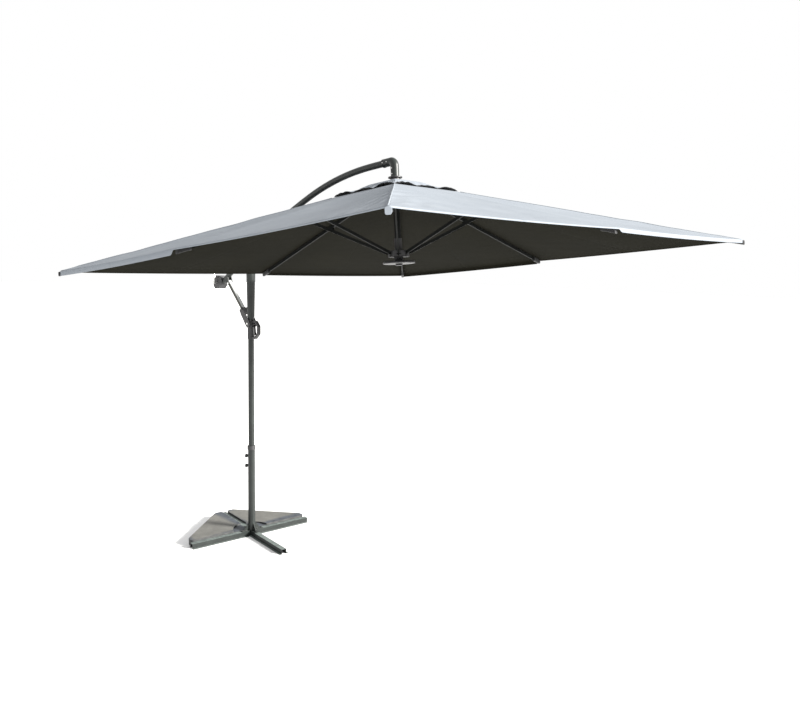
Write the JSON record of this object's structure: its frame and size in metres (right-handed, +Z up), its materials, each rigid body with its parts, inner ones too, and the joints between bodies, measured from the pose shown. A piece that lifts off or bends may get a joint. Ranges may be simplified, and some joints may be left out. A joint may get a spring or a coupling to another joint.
{
  "type": "cantilever parasol",
  "caption": "Square cantilever parasol: fabric canopy on folding ribs hung from a curved arm on a swivelling mast, with a crank and a cross base held down by two slabs.",
  "frame": {"origin": "on the ground under the axis of the mast", "axes": "+X from the mast out under the canopy along the arm, +Z up, +Y to the left seen from the mast"},
  "size_m": [3.669, 3, 2.8683],
  "materials": {
    "painted_steel": "satin powder coat",
    "bright_aluminium": "brushed",
    "bright_steel": "bright zinc plated",
    "black_plastic": "fine textured",
    "gloss_black": "smooth",
    "dark_painted_aluminium": "satin powder coat",
    "slab_casing": "dusty, textured",
    "concrete": "cast",
    "canopy_fabric": "woven polyester"
  },
  "bodies": {
    "base": {"long_leg": "painted_steel", "front_leg": "painted_steel", "back_leg": "painted_steel", "stand_pipe": "painted_steel", "base_bolts": "bright_steel", "slab_casing_left": "slab_casing", "slab_casing_right": "slab_casing", "slab_concrete": "concrete", "stand_collar": "black_plastic"},
    "knob_upper": {"knob_upper": "black_plastic"},
    "knob_lower": {"knob_lower": "black_plastic"},
    "mast": {"mast_tube": "dark_painted_aluminium", "mast_head": "dark_painted_aluminium", "arm_pin": "bright_steel"},
    "arm": {"arm_tube": "dark_painted_aluminium", "strut_pin": "bright_steel", "crank_housing_left": "black_plastic", "crank_housing_right": "black_plastic", "elbow": "dark_painted_aluminium", "elbow_screws": "bright_steel", "crown_flange": "black_plastic", "crown_hub": "black_plastic", "centre_pole": "dark_painted_aluminium"},
    "tilt_strut": {"tilt_strut": "bright_aluminium", "strut_fork": "black_plastic"},
    "slider": {"slider_body": "black_plastic", "slider_pins": "bright_steel", "slider_handle": "black_plastic"},
    "lever": {"slider_lever": "gloss_black"},
    "crank": {"crank_shaft": "bright_steel", "winding_drum": "black_plastic", "crank_arm": "bright_steel"},
    "grip": {"crank_grip": "black_plastic"},
    "pulley": {"elbow_pulley": "black_plastic"},
    "rib_1": {"rib_1": "dark_painted_aluminium", "canopy_panel_1": "canopy_fabric"},
    "strut_1": {"strut_1": "dark_painted_aluminium"},
    "rib_2": {"rib_2": "dark_painted_aluminium", "canopy_panel_2": "canopy_fabric"},
    "strut_2": {"strut_2": "dark_painted_aluminium"},
    "rib_3": {"rib_3": "dark_painted_aluminium", "canopy_panel_3": "canopy_fabric"},
    "strut_3": {"strut_3": "dark_painted_aluminium"},
    "rib_4": {"rib_4": "dark_painted_aluminium", "canopy_panel_4": "canopy_fabric"},
    "strut_4": {"strut_4": "dark_painted_aluminium"},
    "rib_5": {"rib_5": "dark_painted_aluminium", "canopy_panel_5": "canopy_fabric"},
    "strut_5": {"strut_5": "dark_painted_aluminium"},
    "rib_6": {"rib_6": "dark_painted_aluminium", "canopy_panel_6": "canopy_fabric"},
    "strut_6": {"strut_6": "dark_painted_aluminium"},
    "rib_7": {"rib_7": "dark_painted_aluminium", "canopy_panel_7": "canopy_fabric"},
    "strut_7": {"strut_7": "dark_painted_aluminium"},
    "rib_8": {"rib_8": "dark_painted_aluminium", "canopy_panel_8": "canopy_fabric"},
    "strut_8": {"strut_8": "dark_painted_aluminium"},
    "runner": {"lower_hub": "black_plastic", "hub_cover": "gloss_black"}
  },
  "joints": [
    {"name": "mast_swivel", "type": "hinge", "parent": "base", "child": "mast", "pos_m": [0, 0, 0.741], "axis": [0, 0, 1], "continuous": true},
    {"name": "knob_lower_turn", "type": "hinge", "parent": "base", "child": "knob_lower", "pos_m": [0, 0, 0.573], "axis": [-0.8192, -0.5736, 0], "range_deg": [-540, 0]},
    {"name": "knob_upper_turn", "type": "hinge", "parent": "base", "child": "knob_upper", "pos_m": [0, 0, 0.654], "axis": [-0.8192, -0.5736, 0], "range_deg": [-540, 0]},
    {"name": "arm_tilt", "type": "hinge", "parent": "mast", "child": "arm", "pos_m": [0, 0, 2.335], "axis": [0, -1, 0], "range_deg": [0, 18]},
    {"name": "tilt_strut_swing", "type": "hinge", "parent": "arm", "child": "tilt_strut", "pos_m": [-0.305, 0, 2.03], "axis": [0, -1, 0], "range_deg": [-36.5, 0.5]},
    {"name": "slider_travel", "type": "hinge", "parent": "tilt_strut", "child": "slider", "pos_m": [0, 0, 1.725], "axis": [0, -1, 0], "range_deg": [-0.5, 18.5]},
    {"name": "slider_lever_squeeze", "type": "hinge", "parent": "slider", "child": "lever", "pos_m": [0.043, 0, 1.722], "axis": [0, -1, 0], "range_deg": [0, 14], "stiffness_Nm_per_rad": 0.6, "springref_deg": -20.05},
    {"name": "canopy_fold", "type": "hinge", "parent": "arm", "child": "rib_1", "pos_m": [1.66856, 0, 2.6989], "axis": [0, 1, 0], "range_deg": [0, 66.91], "deforming": ["canopy_panel_1"]},
    {"name": "rib_2_fold", "type": "hinge", "parent": "arm", "child": "rib_2", "pos_m": [1.6534, 0.03677, 2.69746], "axis": [-0.7039, 0.7071, -0.0668], "range_deg": [0, 72], "deforming": ["canopy_panel_2"]},
    {"name": "rib_3_fold", "type": "hinge", "parent": "arm", "child": "rib_3", "pos_m": [1.6168, 0.052, 2.69399], "axis": [-0.9955, 0, -0.0944], "range_deg": [0, 67], "deforming": ["canopy_panel_3"]},
    {"name": "rib_4_fold", "type": "hinge", "parent": "arm", "child": "rib_4", "pos_m": [1.58019, 0.03677, 2.69052], "axis": [-0.7039, -0.7071, -0.0668], "range_deg": [0, 72], "deforming": ["canopy_panel_4"]},
    {"name": "rib_5_fold", "type": "hinge", "parent": "arm", "child": "rib_5", "pos_m": [1.56503, 0, 2.68908], "axis": [0, -1, 0], "range_deg": [0, 67], "deforming": ["canopy_panel_5"]},
    {"name": "rib_6_fold", "type": "hinge", "parent": "arm", "child": "rib_6", "pos_m": [1.58019, -0.03677, 2.69052], "axis": [0.7039, -0.7071, 0.0668], "range_deg": [0, 72], "deforming": ["canopy_panel_6"]},
    {"name": "rib_7_fold", "type": "hinge", "parent": "arm", "child": "rib_7", "pos_m": [1.6168, -0.052, 2.69399], "axis": [0.9955, 0, 0.0944], "range_deg": [0, 67], "deforming": ["canopy_panel_7"]},
    {"name": "rib_8_fold", "type": "hinge", "parent": "arm", "child": "rib_8", "pos_m": [1.6534, -0.03677, 2.69746], "axis": [0.7039, 0.7071, 0.0668], "range_deg": [0, 72], "deforming": ["canopy_panel_8"]},
    {"name": "strut_1_swing", "type": "hinge", "parent": "rib_1", "child": "strut_1", "pos_m": [2.26144, 0, 2.54378], "axis": [0, 1, 0], "range_deg": [-134.5, 0]},
    {"name": "strut_2_swing", "type": "hinge", "parent": "rib_2", "child": "strut_2", "pos_m": [2.07161, 0.44208, 2.58058], "axis": [-0.7039, 0.7071, -0.0668], "range_deg": [-134.5, 0]},
    {"name": "strut_3_swing", "type": "hinge", "parent": "rib_3", "child": "strut_3", "pos_m": [1.63666, 0.62759, 2.48453], "axis": [-0.9955, 0, -0.0944], "range_deg": [-134.5, 0]},
    {"name": "strut_4_swing", "type": "hinge", "parent": "rib_4", "child": "strut_4", "pos_m": [1.1914, 0.44208, 2.49711], "axis": [-0.7039, -0.7071, -0.0668], "range_deg": [-134.5, 0]},
    {"name": "strut_5_swing", "type": "hinge", "parent": "rib_5", "child": "strut_5", "pos_m": [1.01187, 0, 2.42528], "axis": [0, -1, 0], "range_deg": [-134.5, 0]},
    {"name": "strut_6_swing", "type": "hinge", "parent": "rib_6", "child": "strut_6", "pos_m": [1.1914, -0.44208, 2.49711], "axis": [0.7039, -0.7071, 0.0668], "range_deg": [-134.5, 0]},
    {"name": "strut_7_swing", "type": "hinge", "parent": "rib_7", "child": "strut_7", "pos_m": [1.63666, -0.62759, 2.48453], "axis": [0.9955, 0, 0.0944], "range_deg": [-134.5, 0]},
    {"name": "strut_8_swing", "type": "hinge", "parent": "rib_8", "child": "strut_8", "pos_m": [2.07161, -0.44208, 2.58058], "axis": [0.7039, 0.7071, 0.0668], "range_deg": [-134.5, 0]},
    {"name": "runner_travel", "type": "hinge", "parent": "strut_1", "child": "runner", "pos_m": [1.70829, 0, 2.27998], "axis": [0, 1, 0], "range_deg": [0, 67]},
    {"name": "crank_turn", "type": "hinge", "parent": "arm", "child": "crank", "pos_m": [-0.46, 0, 2.033], "axis": [0, 1, 0], "range_deg": [0, 3542]},
    {"name": "grip_spin", "type": "hinge", "parent": "crank", "child": "grip", "pos_m": [-0.468, 0, 2.165], "axis": [0, 1, 0], "continuous": true},
    {"name": "elbow_pulley_turn", "type": "hinge", "parent": "arm", "child": "pulley", "pos_m": [1.59456, 0, 2.83543], "axis": [0, 1, 0], "range_deg": [-4384.9, 0]}
  ],
  "couplings": [
    {"joint": "tilt_strut_swing", "follows": "arm_tilt", "ratio": -2},
    {"joint": "slider_travel", "follows": "arm_tilt", "ratio": 1},
    {"joint": "rib_2_fold", "follows": "canopy_fold", "ratio": 1.0742},
    {"joint": "rib_3_fold", "follows": "canopy_fold", "ratio": 1},
    {"joint": "rib_4_fold", "follows": "canopy_fold", "ratio": 1.0742},
    {"joint": "rib_5_fold", "follows": "canopy_fold", "ratio": 1},
    {"joint": "rib_6_fold", "follows": "canopy_fold", "ratio": 1.0742},
    {"joint": "rib_7_fold", "follows": "canopy_fold", "ratio": 1},
    {"joint": "rib_8_fold", "follows": "canopy_fold", "ratio": 1.0742},
    {"joint": "strut_1_swing", "follows": "canopy_fold", "ratio": -2},
    {"joint": "strut_2_swing", "follows": "canopy_fold", "ratio": -2.0075},
    {"joint": "strut_3_swing", "follows": "canopy_fold", "ratio": -2},
    {"joint": "strut_4_swing", "follows": "canopy_fold", "ratio": -2.0075},
    {"joint": "strut_5_swing", "follows": "canopy_fold", "ratio": -2},
    {"joint": "strut_6_swing", "follows": "canopy_fold", "ratio": -2.0075},
    {"joint": "strut_7_swing", "follows": "canopy_fold", "ratio": -2},
    {"joint": "strut_8_swing", "follows": "canopy_fold", "ratio": -2.0075},
    {"joint": "runner_travel", "follows": "canopy_fold", "ratio": 1},
    {"joint": "crank_turn", "follows": "canopy_fold", "ratio": 52.904},
    {"joint": "elbow_pulley_turn", "follows": "canopy_fold", "ratio": -65.5}
  ]
}
